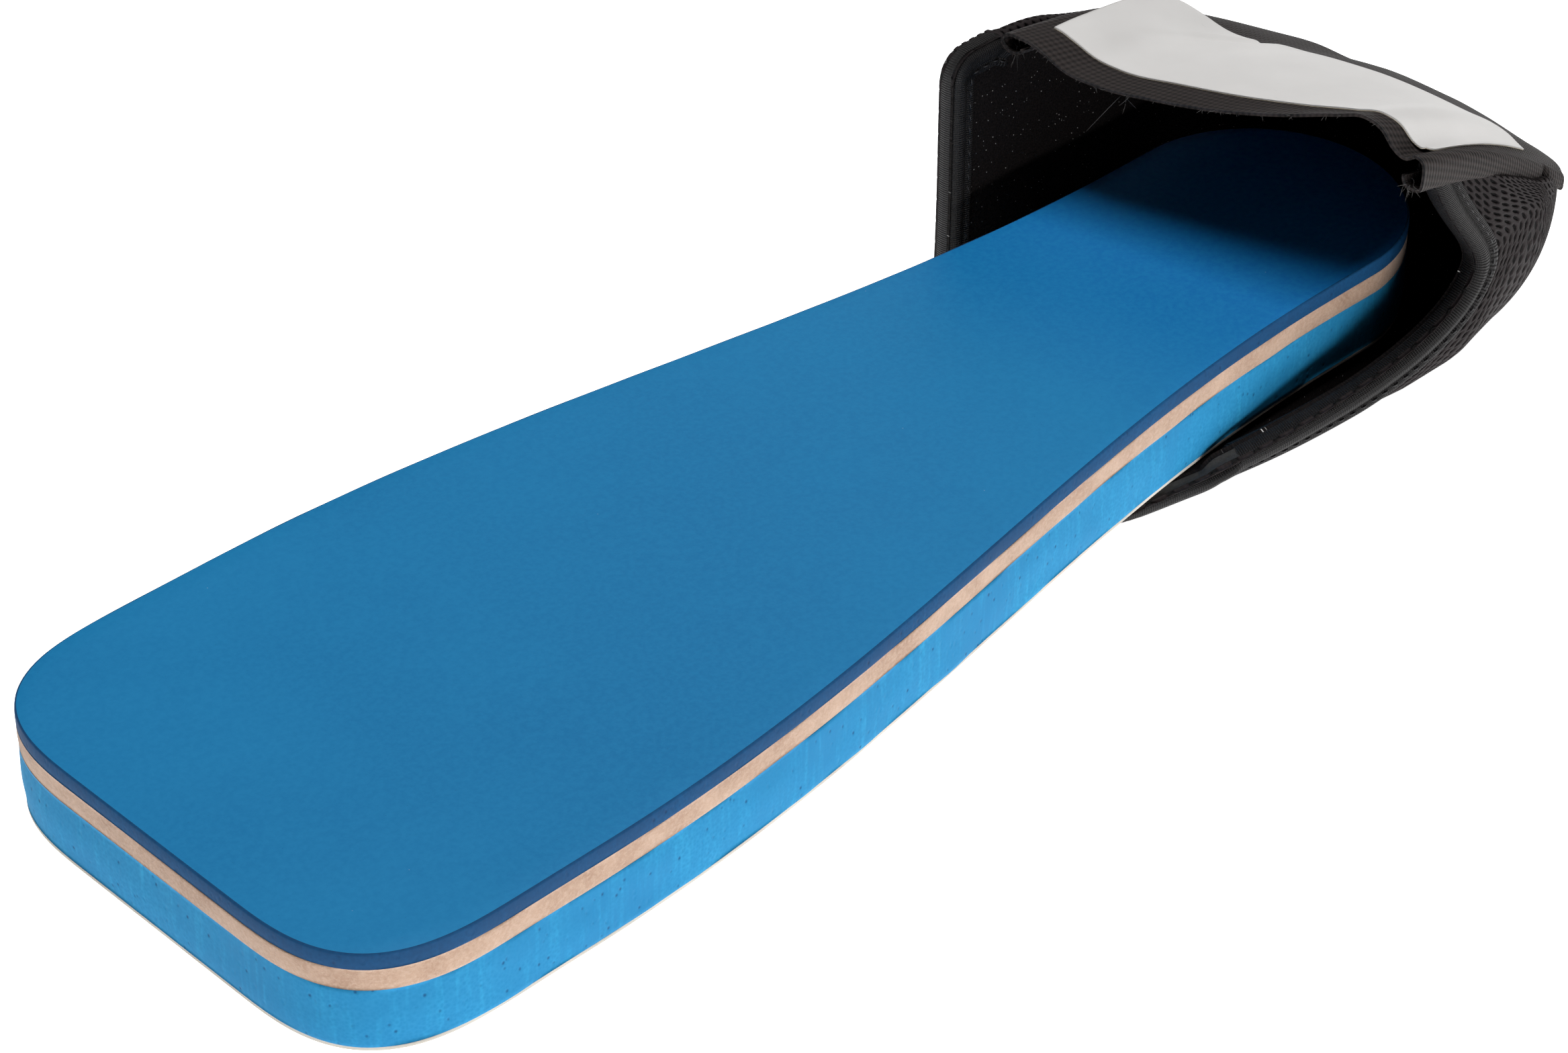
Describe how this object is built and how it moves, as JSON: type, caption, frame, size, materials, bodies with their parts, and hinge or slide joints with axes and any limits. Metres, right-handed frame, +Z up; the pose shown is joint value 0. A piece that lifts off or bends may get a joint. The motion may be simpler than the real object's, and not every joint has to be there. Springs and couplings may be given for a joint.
{
  "type": "laminated foam kneeboard pad with padded end cup",
  "caption": "Layered foam board, broad and square-cornered at one end and round at the other, with its round end lying loose in an open-mouthed padded fabric cup.",
  "frame": {"origin": "middle of the overall length and width, on the ground plane the object lies on", "axes": "+X along the board from its broad end to the cup, +Z up, +Y to the left looking along +X"},
  "size_m": [0.323, 0.1024, 0.0668],
  "materials": {
    "bottom_sheet": "matt, pale backing",
    "base_foam": "closed-cell foam, cut edge",
    "cushion_layer": "fuzzy cut edge",
    "top_sheet": "smooth satin foam skin",
    "floor_cover": "plain woven",
    "floor_padding": "soft foam",
    "floor_lining": "loop pile",
    "wall_mesh": "knitted spacer mesh",
    "wall_padding": "soft foam",
    "wall_lining": "loop pile",
    "mouth_binding": "ribbed tape",
    "left_stitching": "thread",
    "right_stitching": "thread",
    "lid_fabric": "woven cloth",
    "label_adhesive": "tacky film",
    "label_paper": "smooth coated paper"
  },
  "bodies": {
    "board": {"bottom_sheet": "bottom_sheet", "base_foam": "base_foam", "cushion_layer": "cushion_layer", "top_sheet": "top_sheet"},
    "cup": {"floor_cover": "floor_cover", "floor_padding": "floor_padding", "floor_lining": "floor_lining", "wall_mesh": "wall_mesh", "wall_padding": "wall_padding", "wall_lining": "wall_lining", "mouth_binding": "mouth_binding", "left_stitching": "left_stitching", "right_stitching": "right_stitching", "lid_fabric": "lid_fabric", "label_adhesive": "label_adhesive", "label_paper": "label_paper"}
  },
  "joints": [
    {"name": "cup_slide", "type": "slide", "parent": "board", "child": "cup", "axis": [1, 0, 0], "range_m": [-0.006, 0.11]}
  ]
}
